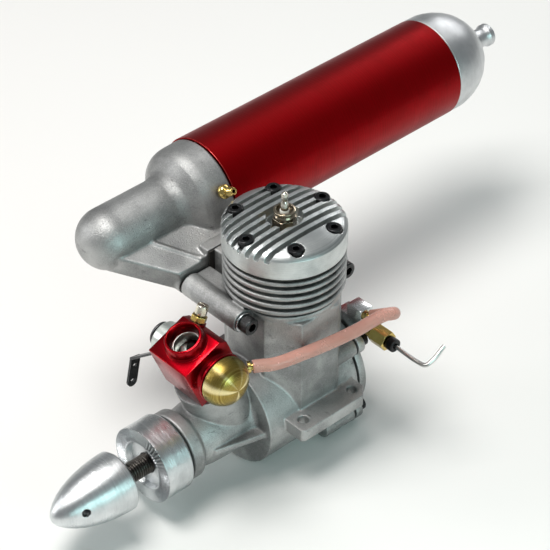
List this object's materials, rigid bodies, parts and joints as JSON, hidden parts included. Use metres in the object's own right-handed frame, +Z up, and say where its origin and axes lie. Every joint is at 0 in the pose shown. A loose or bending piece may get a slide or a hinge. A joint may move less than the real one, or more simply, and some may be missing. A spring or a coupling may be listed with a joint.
{
  "type": "model glow engine",
  "caption": "Two-stroke model aircraft glow engine with finned cylinder, front rotary carburettor, rear needle valve and side expansion muffler.",
  "frame": {"origin": "where the crankshaft axis crosses the cylinder axis, level with the undersides of the beam mounting lugs", "axes": "+Z up the cylinder, -Y along the crankshaft towards the propeller, -X towards the muffler"},
  "size_m": [0.125, 0.2799, 0.1124],
  "materials": {
    "cast_aluminium": "bead-blasted cast aluminium",
    "machined_aluminium": "bright turned aluminium",
    "ground_steel": "ground steel",
    "black_oxide": "black oxide steel",
    "brass": "turned brass",
    "red_anodised": "gloss red anodised aluminium",
    "red_anodised_tube": "satin red anodised aluminium",
    "gasket": "dark fibre gasket",
    "insulator": "white insulator",
    "silicone": "translucent silicone"
  },
  "bodies": {
    "engine": {"crankcase": "cast_aluminium", "backplate": "cast_aluminium", "muffler_casting": "cast_aluminium", "cylinder_head": "machined_aluminium", "needle_valve_block": "machined_aluminium", "muffler_end_cap": "machined_aluminium", "cylinder_liner": "ground_steel", "rear_bearing": "ground_steel", "front_bearing": "ground_steel", "glow_plug_body": "ground_steel", "muffler_washer_front": "ground_steel", "muffler_washer_rear": "ground_steel", "backplate_screw_1": "black_oxide", "backplate_screw_2": "black_oxide", "backplate_screw_3": "black_oxide", "backplate_screw_4": "black_oxide", "head_bolt_1": "black_oxide", "head_bolt_2": "black_oxide", "head_bolt_3": "black_oxide", "head_bolt_4": "black_oxide", "head_bolt_5": "black_oxide", "head_bolt_6": "black_oxide", "needle_valve_screw": "black_oxide", "needle_collar": "black_oxide", "muffler_bolt_front": "black_oxide", "muffler_bolt_rear": "black_oxide", "glow_plug_washer": "brass", "glow_plug_post": "brass", "carburettor_cap": "brass", "idle_stop_nut": "brass", "needle_valve_body": "brass", "carburettor_fuel_nipple": "brass", "needle_valve_nipple": "brass", "pressure_nipple": "brass", "carburettor_body": "red_anodised", "muffler_tube": "red_anodised_tube", "backplate_gasket": "gasket", "head_gasket": "gasket", "exhaust_gasket": "gasket", "glow_plug_insulator": "insulator", "fuel_line": "silicone"},
    "rotor": {"crankshaft": "ground_steel", "drive_washer": "machined_aluminium", "spinner_nut": "machined_aluminium"},
    "piston": {"piston": "machined_aluminium", "wrist_pin": "ground_steel"},
    "conrod": {"connecting_rod": "machined_aluminium"},
    "throttle": {"throttle_barrel": "machined_aluminium", "throttle_arm": "ground_steel", "throttle_arm_screw": "ground_steel"},
    "mixture_needle": {"needle": "ground_steel"},
    "idle_stop": {"idle_stop_screw": "brass"}
  },
  "joints": [
    {"name": "crankshaft_spin", "type": "hinge", "parent": "engine", "child": "rotor", "pos_m": [0, -0.04, 0], "axis": [0, 1, 0], "continuous": true},
    {"name": "piston_slide", "type": "slide", "parent": "engine", "child": "piston", "axis": [0, 0, 1], "range_m": [-0.0244, 0]},
    {"name": "conrod_swing", "type": "hinge", "parent": "piston", "child": "conrod", "pos_m": [0, 0, 0.0522], "axis": [0, 1, 0], "range_deg": [-17.7, 17.7]},
    {"name": "throttle_turn", "type": "hinge", "parent": "engine", "child": "throttle", "pos_m": [0, -0.0445, 0.0366], "axis": [1, 0, 0], "range_deg": [-78, 0]},
    {"name": "mixture_needle_turn", "type": "hinge", "parent": "engine", "child": "mixture_needle", "pos_m": [0.03, 0.0272, 0.022], "axis": [1, 0, 0], "continuous": true},
    {"name": "idle_stop_turn", "type": "hinge", "parent": "engine", "child": "idle_stop", "pos_m": [-0.004, -0.04118, 0.04441], "axis": [0, 0.3907, 0.9205], "continuous": true}
  ]
}
